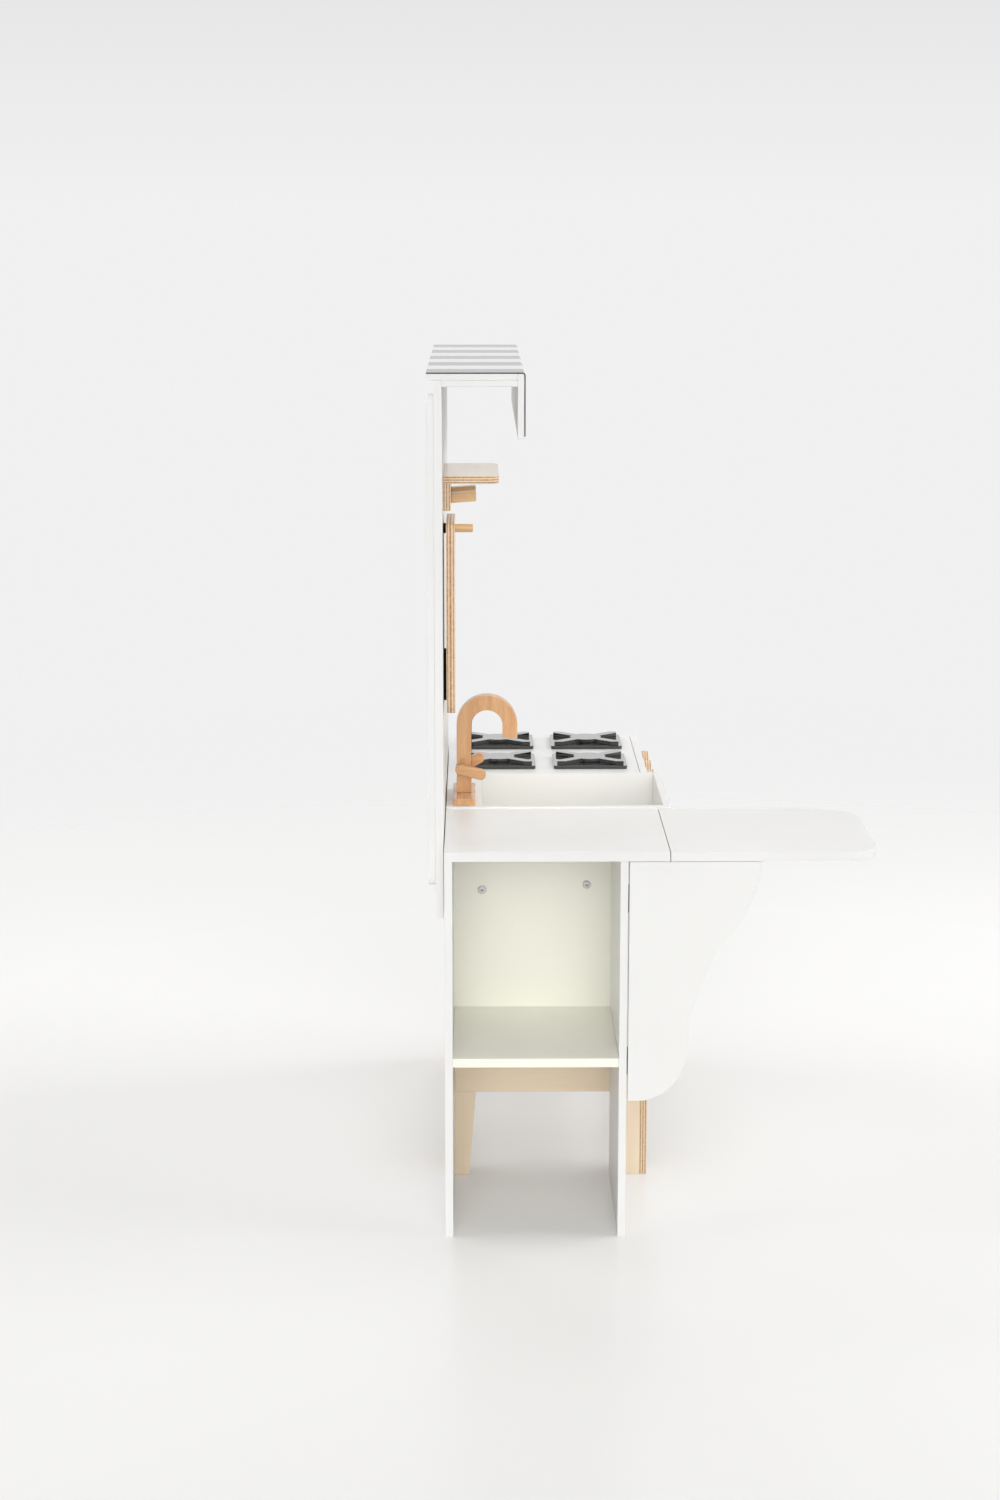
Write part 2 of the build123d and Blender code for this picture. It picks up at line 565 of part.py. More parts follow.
def cupboard_door():
    """A side-hung door under the sink with a round knob and two pivot pins."""
    z = (FLOOR_TOP + DOOR_GAP, BASIN_UNDER - DOOR_GAP)
    free_edge = HOB_X - DOOR_GAP
    door = board((CUPBOARD_AXIS[0], free_edge), (0, BOARD), z)
    door += rod((*CUPBOARD_AXIS, z[0]), (0, 0, 1), z[1] - z[0], BOARD / 2)
    pins = []
    for edge, inward in ((z[0], 1), (z[1], -1)):
        length = DOOR_GAP + 2 * PIVOT_DEPTH
        start = (*CUPBOARD_AXIS, edge - inward * (DOOR_GAP + PIVOT_DEPTH - SLIDE_GAP))
        pins.append(rod(start, (0, 0, inward), length - 2 * SLIDE_GAP, PIVOT_RADIUS))
        door -= rod((*CUPBOARD_AXIS, edge), (0, 0, inward), PIVOT_DEPTH, PIVOT_RADIUS + SEAT)
    nodes["cupboard_door"] = door
    nodes["cupboard_pivot_pins"] = group(pins)
    place = (free_edge - DOOR_KNOB_EDGE, 0, z[1] - DOOR_KNOB_DROP)
    knob = rod(place, (0, -1, 0), DOOR_KNOB_STANDOFF + DOOR_KNOB_LENGTH, DOOR_KNOB_NECK)
    head_start = (place[0], -DOOR_KNOB_STANDOFF, place[2])
    head = rod(head_start, (0, -1, 0), DOOR_KNOB_LENGTH, DOOR_KNOB_RADIUS)
    knob += fillet(head.edges().filter_by(GeomType.CIRCLE), DOOR_KNOB_LENGTH / 3)
    nodes["cupboard_knob"] = knob


def base():
    """A plywood plinth: four rails on corner legs of two tapered plates each."""
    x = (TABLE_SIDE_X, RIGHT)
    y = (BASE_SETBACK, BODY_DEPTH)
    z = (BASE_HEIGHT - RAIL_HEIGHT, BASE_HEIGHT)
    inner_y = (y[0] + PLY, y[1] - PLY)
    long_rails = [board(x, (y[0], inner_y[0]), z), board(x, (inner_y[1], y[1]), z)]
    nodes["base_long_rails"] = group(long_rails)
    ends = ((x[0], x[0] + PLY), (x[1] - PLY, x[1]))
    nodes["base_side_rails"] = group(board(end, inner_y, z) for end in ends)
    legs = []
    for outer_x, right in ((x[0], 1), (x[1], -1)):
        for outer_y, back in ((y[0], 1), (y[1], -1)):
            wide = [(0, z[0]), (LEG_TOP, z[0]), (LEG_BOTTOM, 0), (0, 0)]
            face = Polyline(*[(outer_x + right * a, b) for a, b in wide], close=True)
            face_y = max(outer_y, outer_y + back * PLY)
            legs.append(front_plane(face_y) * extrude(make_face(face), PLY))
            slim = [(PLY, z[0]), (LEG_TOP, z[0]), (LEG_BOTTOM, 0), (PLY, 0)]
            side = Polyline(*[(outer_y + back * a, b) for a, b in slim], close=True)
            side_x = min(outer_x, outer_x + right * PLY)
            legs.append(side_plane(side_x) * extrude(make_face(side), PLY))
    nodes["base_leg_plates"] = group(legs)


def wall_screw_holes():
    """Bores for the screws that hold the wall to the table and the cabinet."""
    start_y = BODY_DEPTH - SCREW_BITE
    length = REAR - start_y
    return [rod((x, start_y, SCREW_Z), (0, 1, 0), length, SCREW_RADIUS + SEAT) for x in SCREW_X]


def wall():
    """The tall back wall, the battens behind it, and its screws and spacers."""
    span = (WALL_X, WALL_END)
    panel = board(span, (WALL_Y, WALL_BACK), (WALL_BOTTOM, CANOPY_UNDER))
    peg_bore_start = (CUTTING_X, WALL_Y, CUTTING_PEG_Z)
    peg_bore = rod(peg_bore_start, (0, 1, 0), BOARD / 2, CUTTING_PEG_RADIUS + SEAT)
    nodes["wall_panel"] = panel - wall_screw_holes() - peg_bore
    battens = []
    for low in (WALL_X, WALL_END - BATTEN_WIDTH):
        height = BATTEN_TOP - BATTEN_BOTTOM
        middle = (low + BATTEN_WIDTH / 2, BATTEN_BOTTOM + height / 2)
        face = Pos(*middle) * round_slab(BATTEN_WIDTH, height, BATTEN_CORNER)
        battens.append(front_plane(REAR) * extrude(face, BATTEN))
    nodes["wall_battens"] = group(battens)
    screws = []
    spacers = []
    shank = SCREW_BITE + WALL_GAP + BOARD
    for x in SCREW_X:
        screw = rod((x, WALL_BACK - shank, SCREW_Z), (0, 1, 0), shank, SCREW_RADIUS)
        head = rod((x, WALL_BACK, SCREW_Z), (0, 1, 0), SCREW_HEAD, SCREW_HEAD_RADIUS)
        screws.append(screw + fillet(head.edges().group_by(Axis.Y)[-1], SCREW_HEAD * 0.6))
        ring = rod((x, BODY_DEPTH, SCREW_Z), (0, 1, 0), WALL_GAP, SPACER_RADIUS)
        spacers.append(ring - rod((x, BODY_DEPTH, SCREW_Z), (0, 1, 0), WALL_GAP, SCREW_RADIUS + SEAT))
    nodes["wall_screws"] = group(screws)
    nodes["wall_spacers"] = group(spacers)


def canopy():
    """A flat roof on side rails, a straight valance, and a striped film over both."""
    span = (WALL_X, WALL_END)
    roof_z = (CANOPY_UNDER, CANOPY_TOP)
    nodes["canopy_roof"] = board(span, (CANOPY_BOARD_Y, REAR), roof_z)
    rail_z = (CANOPY_UNDER - CANOPY_RAIL, CANOPY_UNDER)
    rails = []
    for low in (WALL_X, WALL_END - BOARD):
        rails.append(board((low, low + BOARD), (CANOPY_BOARD_Y, WALL_Y), rail_z))
    nodes["canopy_rails"] = group(rails)
    outer = board(span, (CANOPY_Y, REAR), (VALANCE_BOTTOM + FILM_RAISE, TOTAL_HEIGHT))
    outer_top = outer.edges().filter_by(Axis.X).group_by(Axis.Z)[-1].sort_by(Axis.Y)[0]
    inner = board(span, (VALANCE_Y, REAR), (VALANCE_BOTTOM, CANOPY_TOP))
    inner_top = inner.edges().filter_by(Axis.X).group_by(Axis.Z)[-1].sort_by(Axis.Y)[0]
    outer = fillet(outer_top, CANOPY_CORNER)
    inner = fillet(inner_top, CANOPY_CORNER - FILM)
    nodes["canopy_film"] = outer - inner
    nodes["canopy_valance"] = inner - board(span, (CANOPY_BOARD_Y, REAR), (VALANCE_BOTTOM, CANOPY_TOP))


def wall_shelf():
    """A small shelf on a peg rail with two slanted square pegs."""
    x = (WALL_X + SHELF_INSET, WALL_X + SHELF_INSET + SHELF_LENGTH)
    middle = (x[0] + x[1]) / 2
    outline = Pos(middle, WALL_Y - SHELF_DEPTH / 2) * Rectangle(SHELF_LENGTH, SHELF_DEPTH)
    outline = fillet(outline.vertices().group_by(Axis.Y)[0], SHELF_CORNER)
    nodes["wall_shelf"] = Pos(0, 0, SHELF_UNDER) * extrude(outline, PLY)
    rail_front = WALL_Y - PLY
    rail_z = (SHELF_UNDER - PEG_RAIL_HEIGHT, SHELF_UNDER)
    nodes["peg_rail"] = board(x, (rail_front, WALL_Y), rail_z)
    half = PEG_HEIGHT / 2
    bar = board((-PEG_WIDTH / 2, PEG_WIDTH / 2), (-PEG_LENGTH, half), (-half, half))
    pegs = []
    for side in (-1, 1):
        foot = Pos(middle + side * PEG_PITCH / 2, rail_front, PEG_Z)
        peg = foot * Rot(-PEG_TILT, 0, 0) * bar
        pegs.append(peg - board(x, (rail_front, WALL_Y), (0, TOTAL_HEIGHT)))
    nodes["wall_pegs"] = group([*pegs, board_peg()])


def board_peg():
    """The peg that the cutting board hangs on."""
    start = (CUTTING_X, WALL_Y + BOARD / 2, CUTTING_PEG_Z)
    length = BOARD / 2 + STANDOFF + CUTTING_THICK + CUTTING_PEG_END
    return rod(start, (0, -1, 0), length, CUTTING_PEG_RADIUS)


def cutting_board():
    """A board that hangs on a peg, held off the wall by a rubber collar and a rubber pad."""
    bore = CUTTING_PEG_RADIUS + RUN
    outline = Pos(CUTTING_X, CUTTING_TOP - CUTTING_HEIGHT / 2)
    outline = outline * round_slab(CUTTING_WIDTH, CUTTING_HEIGHT, CUTTING_CORNER)
    outline -= Pos(CUTTING_X, CUTTING_PEG_Z) * Circle(bore)
    nodes["cutting_board"] = front_plane(CUTTING_BACK) * extrude(outline, CUTTING_THICK)
    depth = STANDOFF - SLIDE_GAP
    ring_start = (CUTTING_X, WALL_Y, CUTTING_PEG_Z)
    ring = rod(ring_start, (0, -1, 0), depth, PEG_COLLAR_RADIUS)
    ring -= rod(ring_start, (0, -1, 0), depth, CUTTING_PEG_RADIUS + SEAT)
    pad_z = CUTTING_BOTTOM + BUMPER_RISE
    pad_x = (CUTTING_X - BUMPER_WIDTH / 2, CUTTING_X + BUMPER_WIDTH / 2)
    pad = board(pad_x, (WALL_Y - depth, WALL_Y), (pad_z, pad_z + BUMPER_HEIGHT))
    nodes["board_stops"] = group([ring, pad])


def faucet():
    """A cane-shaped wooden faucet with two levers on one axle."""
    length, depth, height = FAUCET_BASE
    plate = extrude(round_slab(length, depth, height / 4), height)
    nodes["faucet_base"] = Pos(FAUCET_X, FAUCET_Y, COUNTER) * plate
    half = FAUCET_BAND / 2
    bend_y = FAUCET_Y - FAUCET_BEND
    bend_z = FAUCET_TOP + FAUCET_STEM
    leg_y = bend_y - FAUCET_BEND
    outlet_z = bend_z - FAUCET_LEG
    crown = bend_z + FAUCET_BEND
    outline = [
        Line((FAUCET_Y + half, FAUCET_TOP), (FAUCET_Y + half, bend_z)),
        ThreePointArc((FAUCET_Y + half, bend_z), (bend_y, crown + half), (leg_y - half, bend_z)),
        Line((leg_y - half, bend_z), (leg_y - half, outlet_z)),
        Line((leg_y - half, outlet_z), (leg_y + half, outlet_z)),
        Line((leg_y + half, outlet_z), (leg_y + half, bend_z)),
        ThreePointArc((leg_y + half, bend_z), (bend_y, crown - half), (FAUCET_Y - half, bend_z)),
        Line((FAUCET_Y - half, bend_z), (FAUCET_Y - half, FAUCET_TOP)),
        Line((FAUCET_Y - half, FAUCET_TOP), (FAUCET_Y + half, FAUCET_TOP)),
    ]
    spout = side_plane(FAUCET_X - half) * extrude(make_face(outline), FAUCET_BAND)
    reach = half + LEVER_BORE
    axle_start = (FAUCET_X - reach, FAUCET_Y, AXLE_Z)
    spout -= rod(axle_start, (1, 0, 0), 2 * reach, AXLE_RADIUS + SEAT)
    nodes["faucet_spout"] = spout
    nodes["faucet_axle"] = rod(axle_start, (1, 0, 0), 2 * reach, AXLE_RADIUS)
    bore_start = (FAUCET_X - reach - SLIDE_GAP, FAUCET_Y, AXLE_Z)
    bore = rod(bore_start, (1, 0, 0), 2 * (reach + SLIDE_GAP), AXLE_RADIUS + RUN)
    slat = Pos(LEVER_PIVOT - LEVER_LENGTH / 2, 0) * SlotOverall(LEVER_LENGTH, LEVER_HEIGHT)
    starts = (FAUCET_X - half - SLIDE_GAP - LEVER_THICK, FAUCET_X + half + SLIDE_GAP)
    for name, x, tilt in zip(("left", "right"), starts, LEVER_TILTS):
        place = Plane(origin=(x, FAUCET_Y, AXLE_Z), x_dir=(0, 1, 0), z_dir=(1, 0, 0))
        nodes["lever_" + name] = place * extrude(Rot(0, 0, -tilt) * slat, LEVER_THICK) - bore


side_table()
table_leaf()
leaf_bracket()
carcass()
sink()
hob()
knobs()
oven_door()
cupboard_door()
base()
wall()
canopy()
wall_shelf()
cutting_board()
faucet()

nodes["hinge_plates"] = group(hinge_plates)
nodes["hinge_pins"] = group(hinge_pins)

os.makedirs("parts", exist_ok=True)
for node, shape in nodes.items():
    export_step(Pos(-CENTRE.X, -CENTRE.Y, 0) * shape, f"parts/{node}.step")
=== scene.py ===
import math

import bmesh
import bpy
from mathutils import Matrix, Vector


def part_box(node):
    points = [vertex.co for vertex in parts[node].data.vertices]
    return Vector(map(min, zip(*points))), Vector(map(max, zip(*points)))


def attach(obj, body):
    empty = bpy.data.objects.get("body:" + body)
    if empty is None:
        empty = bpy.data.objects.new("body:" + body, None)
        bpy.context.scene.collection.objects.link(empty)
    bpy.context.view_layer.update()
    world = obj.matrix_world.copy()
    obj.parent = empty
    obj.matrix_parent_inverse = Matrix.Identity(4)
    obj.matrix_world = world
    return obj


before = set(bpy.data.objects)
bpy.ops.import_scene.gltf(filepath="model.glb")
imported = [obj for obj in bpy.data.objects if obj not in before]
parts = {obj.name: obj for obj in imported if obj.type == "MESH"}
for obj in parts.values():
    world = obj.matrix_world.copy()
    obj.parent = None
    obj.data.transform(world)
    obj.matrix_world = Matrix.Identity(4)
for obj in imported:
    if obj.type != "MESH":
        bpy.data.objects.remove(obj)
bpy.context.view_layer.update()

MM = 0.001

# Camera fitted to the straight edges in the photograph
CAMERA_PLACE = (-3.648, 0.2209, 1.3075)
CAMERA_TILT = math.radians(11.53)
CAMERA_YAW = math.radians(0.49)
CAMERA_LENS = 64.8
CAMERA_SENSOR = 36.0
CAMERA_REACH = 100.0

# Light
SKY_LIGHT = 0.32
GLOWS = (
    ((-0.98, 0.0, 0.20), 7.3),  # strongest from the side of the photograph
    ((0.98, 0.0, 0.20), 2.0),
    ((0.0, 0.98, 0.20), 0.8),
)  # way towards a wide soft light in the sky, and its strength
GLOW_FOCUS = 24.0
SKY_HORIZON = 0.875
SKY_ABOVE = 0.80
SKY_TOP = 0.95  # above the photograph's picture, mostly for reflections
SKY_RISE = (0.07, 0.15)  # where the picture's backdrop ends and the upper one is whole
LAMPS = {
    "front": ((-6.4, 0.2, 5.6), (6.0, 3.6), 75.0),
    "side": ((0.2, -3.5, 2.9), (3.2, 2.4), 94.0),
    "back": ((0.4, 3.5, 2.9), (3.2, 2.4), 50.0),
    "right": ((3.2, 0.6, 4.6), (3.0, 2.0), 36.0),
}  # place, size and power; front is the side of the photograph
LAMP_AIM = (0.0, 0.1, 0.5)

# Floor
FLOOR_COLOUR = (0.84, 0.835, 0.825)
FLOOR_ROUGH = 0.22
FLOOR_SHINE = 0.2
FLOOR_GLOW = 0.07  # for the camera alone
FLOOR_REACH = 4.0
FLOOR_FADE = (1.3, 2.8)  # from the middle, where the floor starts to fade and is gone

# Colours, as linear values
PURE_WHITE = (1.0, 1.0, 1.0)
WHITE_PAINT = (0.86, 0.856, 0.842)
# painted bounce light: a copy of the white paint, brighter and yellower, for the parts inside the cubby
# and the sink
BOUNCE_LIT_PAINT = (0.95, 0.94, 0.84)
BIRCH_LIGHT = (0.90, 0.76, 0.58)
BIRCH_DARK = (0.85, 0.69, 0.50)
PLY_EDGE_LIGHT = (0.78, 0.55, 0.34)
PLY_EDGE_DARK = (0.36, 0.18, 0.08)
BEECH_LIGHT = (0.74, 0.43, 0.21)
BEECH_DARK = (0.58, 0.29, 0.12)
PINE_LIGHT = (0.76, 0.53, 0.29)
PINE_DARK = (0.63, 0.39, 0.18)
BLACK_PLASTIC = (0.012, 0.012, 0.011)
STRIPE_DARK = (0.025, 0.025, 0.027)
STRIPE_LIGHT = (0.86, 0.86, 0.86)
STEEL = (0.62, 0.62, 0.63)
BOLT_STEEL = (0.78, 0.78, 0.80)
RECESS_SHADE = (0.03, 0.03, 0.03)
ACRYLIC_CLEAN = (0.90, 0.93, 0.93)
ACRYLIC_DUSTY = (0.82, 0.86, 0.86)
RUBBER_DARK = (0.016, 0.016, 0.016)
RUBBER_LIGHT = (0.034, 0.033, 0.032)

# Noise: the middle part of its values, and the detail of finer ones
NOISE_SPAN = (0.3, 0.7)
FINE_DETAIL = 3.0

# Paint: noise cells in a metre, spans of their values, roughness and bump
PAINT_CLOUDS = 6.0
PAINT_CLOUD_SPAN = (0.35, 0.65)
PAINT_DULL = 0.97
PAINT_SHEEN = 45.0
PAINT_ROUGH = (0.29, 0.40)
PAINT_PEEL = 900.0
PAINT_PEEL_DEPTH = 0.05 * MM
PAINT_PEEL_WEIGHT = 0.5

# Wood: noise cells in a metre along and across the grain, flecks, roughness and lacquer
STREAKS_ALONG = 6.0
STREAKS_ACROSS = 95.0
STREAK_DETAIL = 4.0
STREAK_ROUGH = 0.6
PORES_ALONG = 45.0
PORES_ACROSS = 900.0
PORE_DEPTH = 0.02 * MM
PORE_BUMP = 0.15
FLECK_SPAN = (0.60, 0.74)
FLECK_WEIGHT = 0.55
FLECK_SHADE = 0.55
WOOD_SHEEN_SPAN = (0.3, 0.8)
BEECH_ROUGH = 0.24
PINE_ROUGH = 0.22
WOOD_ROUGH_RISE = 0.14
LACQUER_WEIGHT = 0.4
LACQUER_ROUGH = 0.08

# Plywood
PLY_SHEET = 10.0 * MM
PLY_LAYERS = 6
PLY_DARK_SPAN = (0.5, 0.72)  # part of a layer's turn where it darkens
PLY_FACE_SPAN = (0.6, 0.8)  # share of the normal through the sheet, from edge to face
VENEER_GRAIN = 0.8
VENEER_SPAN = (0.25, 0.75)
VENEER_PORE_SPAN = (0.62, 0.8)
VENEER_PORE_WEIGHT = 0.12
FIBRE_SCALE = (300.0, 300.0, 300.0)
FIBRE_WEIGHT = 0.3
SAWN_ROUGH = (0.20, 0.26)
VENEER_SMOOTHER = 0.14

# Plastic, film, steel, acrylic and rubber
PLASTIC_CLOUDS = 60.0
PLASTIC_PALER = 0.006
PLASTIC_ROUGH = (0.05, 0.08)
PLASTIC_COAT_ROUGH = 0.03
STRIPES = 9
SMUDGES = 25.0
INK_PALER = 0.01
FILM_ROUGH = (0.04, 0.07)
FILM_CUT_FACING = 0.7
FILM_CUT_ROUGH = 0.6
STEEL_PATCHES = 220.0
STEEL_DULL = 0.75
STEEL_ROUGH = 0.28
BOLT_ROUGH = 0.22
STEEL_ROUGH_RISE = 0.15
SCRATCH_SCALE = (2000.0, 300.0, 2000.0)
SCRATCH_DEPTH = 0.03 * MM
SCRATCH_WEIGHT = 0.4
RECESS_REACH = 2.5 * MM
RECESS_SPAN = (0.3, 0.8)
DUST = 90.0
DUST_SPAN = (0.4, 0.8)
ACRYLIC_ROUGH = (0.03, 0.12)
ACRYLIC_CLEAR = 0.92
ACRYLIC_IOR = 1.49
RUBBER_GRAIN = 700.0
RUBBER_ROUGH = (0.6, 0.8)
RUBBER_DEPTH = 0.1 * MM
RUBBER_BUMP = 0.4

# Edges, as sanding and paint round them
EDGE_ROUND = 0.8 * MM
SEAM_ROUND = 0.35 * MM  # where the leaf meets the table top
PLY_ROUND = 0.6 * MM
LEG_ROUND = 0.2 * MM  # the leg plates meet edge to face
BURNER_ROUND = 0.7 * MM
GRATE_ROUND = 0.6 * MM
FAUCET_ROUND = 1.6 * MM
ROUND_STEPS = 2
FINE_STEPS = 3
ROUND_ANGLE = math.radians(40)
FLAT_ANGLE = math.radians(0.5)
WELD_REACH = 0.01 * MM

# Hinge screws
HEAD_SIDES = 24
SCREW_RADIUS = 2.2 * MM
SCREW_RISE = 0.3 * MM
SCREW_BRIM = 0.86 * SCREW_RADIUS
SCREW_WAIST = 0.4 * SCREW_RISE
CROSS_ARM = 0.62 * SCREW_RADIUS
CROSS_HALF = 0.15 * SCREW_RADIUS
CROSS_TAPER = 0.8
CROSS_FLOOR = 0.1 * SCREW_RISE
SCREW_PITCH = 12.0 * MM
SCREW_AWAY = 11.0 * MM  # from a hinge's axis
HINGE_KNUCKLE = 2.2 * MM
HINGE_FACE = 1.2 * MM  # the plates' faces from the axis
HINGE_HALF = 18.0 * MM  # half the length of a hinge

# Plug on the spout
PLUG_RADIUS = 4.0 * MM
PLUG_PROFILE = (
    (1.0, 0.0), (1.0, 0.05), (0.93, 0.1), (0.86, 0.06), (0.8, 0.13), (0.55, 0.19), (0.25, 0.22),
)  # out and up, as shares of the radius
PLUG_FORWARD = 8.4 * MM  # from the spout's back
PLUG_UP = 43.2 * MM  # from its foot

# Nodes that share a material
WHITE_NODES = (
    "table_top table_leaf table_front_panel table_back_panel leaf_bracket cabinet_left_side "
    "cabinet_right_side cabinet_divider cabinet_floor cabinet_back oven_shelf sink_side_walls "
    "sink_apron hob_top fascia faucet_deck oven_door cupboard_door wall_panel wall_battens "
    "canopy_roof canopy_rails canopy_valance"
).split()
BOUNCE_LIT_NODES = "table_side_panel table_shelf sink_floor sink_back_wall".split()
STEEL_NODES = (
    "hinge_plates leaf_hinge_flaps bracket_hinge_flaps hinge_pins wall_screws knob_screws "
    "oven_pivot_pins cupboard_pivot_pins"
).split()
SEAM_NODES = ("table_top", "table_leaf")


def new_material(name):
    """A fresh node material; gives the material, its tree and its shader."""
    made = bpy.data.materials.new(name)
    made.use_nodes = True
    tree = made.node_tree
    return made, tree, tree.nodes["Principled BSDF"]


def fix(node, values):
    """Sets fixed values on a node's inputs."""
    for key, value in values.items():
        node.inputs[key].default_value = value


def add(tree, kind, inputs=None, **settings):
    """A node with its settings and fixed input values."""
    made = tree.nodes.new(kind)
    for key, value in settings.items():
        setattr(made, key, value)
    fix(made, inputs or {})
    return made


def join(tree, source, target):
    """A link between two sockets."""
    tree.links.new(source, target)


def place_of(tree):
    """The object's own coordinates, in metres."""
    return add(tree, "ShaderNodeTexCoord").outputs["Object"]


def stretched(tree, scale):
    """Object coordinates scaled along each axis."""
    mapping = add(tree, "ShaderNodeMapping", {"Scale": scale})
    join(tree, place_of(tree), mapping.inputs["Vector"])
    return mapping.outputs["Vector"]


def noise(tree, vector, scale=1.0, detail=2.0, rough=0.5):
    """Noise from 0 to 1 over a vector."""
    made = add(tree, "ShaderNodeTexNoise", {"Scale": scale, "Detail": detail, "Roughness": rough})
    join(tree, vector, made.inputs["Vector"])
    return made.outputs["Fac"]


def ranged(tree, value, span, target=(0.0, 1.0)):
    """A value mapped from one span to another and clamped."""
    made = add(tree, "ShaderNodeMapRange", {1: span[0], 2: span[1], 3: target[0], 4: target[1]})
    join(tree, value, made.inputs[0])
    return made.outputs[0]


def blended(tree, factor, first, second):
    """A colour between two colours; each is a value or a socket."""
    made = add(tree, "ShaderNodeMix", data_type="RGBA")
    join(tree, factor, made.inputs[0])
    for socket, colour in ((made.inputs[6], first), (made.inputs[7], second)):
        if isinstance(colour, tuple):
            socket.default_value = (*colour, 1.0)
        else:
            join(tree, colour, socket)
    return made.outputs[2]


def shaded(colour, share):
    """A colour at a share of its strength."""
    return tuple(share * part for part in colour)


def paler(colour, step):
    """A colour that is paler by a step."""
    return tuple(part + step for part in colour)


def maths(tree, operation, first, second=None):
    """A maths node; each input is a number or a socket."""
    made = add(tree, "ShaderNodeMath", operation=operation)
    for index, value in enumerate((first, second)):
        if value is None:
            continue
        if isinstance(value, (int, float)):
            made.inputs[index].default_value = value
        else:
            join(tree, value, made.inputs[index])
    return made.outputs[0]


def axis_value(tree, vector, axis):
    """One part of a vector."""
    split = add(tree, "ShaderNodeSeparateXYZ")
    join(tree, vector, split.inputs[0])
    return split.outputs["XYZ".index(axis)]


def bumped(tree, shader, height, distance, strength):
    """A bump on the shader's normal from a height."""
    made = add(tree, "ShaderNodeBump", {"Strength": strength, "Distance": distance})
    join(tree, height, made.inputs["Height"])
    join(tree, made.outputs["Normal"], shader.inputs["Normal"])


def painted_board(name, colour):
    """Satin paint on fibreboard, with faint roller texture and uneven sheen."""
    made, tree, shader = new_material(name)
    place = place_of(tree)
    cloud = noise(tree, place, PAINT_CLOUDS)
    tint = ranged(tree, cloud, PAINT_CLOUD_SPAN)
    join(tree, blended(tree, tint, shaded(colour, PAINT_DULL), colour), shader.inputs["Base Color"])
    sheen = noise(tree, place, PAINT_SHEEN, FINE_DETAIL)
    join(tree, ranged(tree, sheen, NOISE_SPAN, PAINT_ROUGH), shader.inputs["Roughness"])
    peel = noise(tree, place, PAINT_PEEL, FINE_DETAIL)
    bumped(tree, shader, peel, PAINT_PEEL_DEPTH, PAINT_PEEL_WEIGHT)
    return made


def grain(tree, along, fine=1.0):
    """Streaks and fine pores that run along an axis, each as a factor."""
    streak_scale = tuple(STREAKS_ALONG if axis == along else STREAKS_ACROSS * fine for axis in "XYZ")
    streaks = noise(tree, stretched(tree, streak_scale), detail=STREAK_DETAIL, rough=STREAK_ROUGH)
    pore_scale = tuple(PORES_ALONG if axis == along else PORES_ACROSS * fine for axis in "XYZ")
    pores = noise(tree, stretched(tree, pore_scale))
    return streaks, pores


def solid_wood(name, along, light, dark, rough):
    """Lacquered solid wood with streaks and short dark flecks."""
    made, tree, shader = new_material(name)
    streaks, pores = grain(tree, along)
    tone = blended(tree, ranged(tree, streaks, NOISE_SPAN), light, dark)
    fleck = ranged(tree, pores, FLECK_SPAN, (0.0, FLECK_WEIGHT))
    tone = blended(tree, fleck, tone, shaded(dark, FLECK_SHADE))
    join(tree, tone, shader.inputs["Base Color"])
    sheen = ranged(tree, pores, WOOD_SHEEN_SPAN, (rough, rough + WOOD_ROUGH_RISE))
    join(tree, sheen, shader.inputs["Roughness"])
    fix(shader, {"Coat Weight": LACQUER_WEIGHT, "Coat Roughness": LACQUER_ROUGH})
    bumped(tree, shader, pores, PORE_DEPTH, PORE_BUMP)
    return made


def plywood(name, thick, middle, half, along, turned=None):
    """Birch plywood: pale veneer on the faces and thin layers on the edges.

    thick is the axis through the sheet, and along is the grain. The layers are counted from the outer
    faces, which lie half away from the middle along thick, so two sheets that face each other share one
    material. turned, if given, is (axis, middle, half) of sheets across another axis, which reach one
    sheet in from their own outer faces.
    """
    made, tree, shader = new_material(name)
    place = place_of(tree)
    normal = add(tree, "ShaderNodeTexCoord").outputs["Normal"]
    streaks, pores = grain(tree, along, VENEER_GRAIN)
    veneer = blended(tree, ranged(tree, streaks, VENEER_SPAN), BIRCH_LIGHT, BIRCH_DARK)
    specks = ranged(tree, pores, VENEER_PORE_SPAN, (0.0, VENEER_PORE_WEIGHT))
    veneer = blended(tree, specks, veneer, PLY_EDGE_LIGHT)
    fibre = noise(tree, stretched(tree, FIBRE_SCALE))

    def depth_in(axis, centre, reach):
        away = maths(tree, "ABSOLUTE", maths(tree, "SUBTRACT", axis_value(tree, place, axis), centre))
        return maths(tree, "SUBTRACT", reach, away)

    def sheet(axis, depth):
        count = maths(tree, "MULTIPLY", depth, PLY_LAYERS / PLY_SHEET)
        band = ranged(tree, maths(tree, "PINGPONG", count, 1.0), PLY_DARK_SPAN)
        edge = blended(tree, band, PLY_EDGE_LIGHT, PLY_EDGE_DARK)
        edge = blended(tree, ranged(tree, fibre, NOISE_SPAN, (0.0, FIBRE_WEIGHT)), edge, BIRCH_LIGHT)
        facing = maths(tree, "ABSOLUTE", axis_value(tree, normal, axis))
        face = ranged(tree, facing, PLY_FACE_SPAN)
        return blended(tree, face, edge, veneer), maths(tree, "MULTIPLY", face, VENEER_SMOOTHER)

    tone, smooth = sheet(thick, depth_in(thick, middle, half))
    if turned:
        end_depth = depth_in(*turned)
        is_end = maths(tree, "LESS_THAN", end_depth, PLY_SHEET)
        tone = blended(tree, is_end, tone, sheet(turned[0], end_depth)[0])
    join(tree, tone, shader.inputs["Base Color"])
    sawn = ranged(tree, fibre, NOISE_SPAN, SAWN_ROUGH)
    join(tree, maths(tree, "SUBTRACT", sawn, smooth), shader.inputs["Roughness"])
    return made


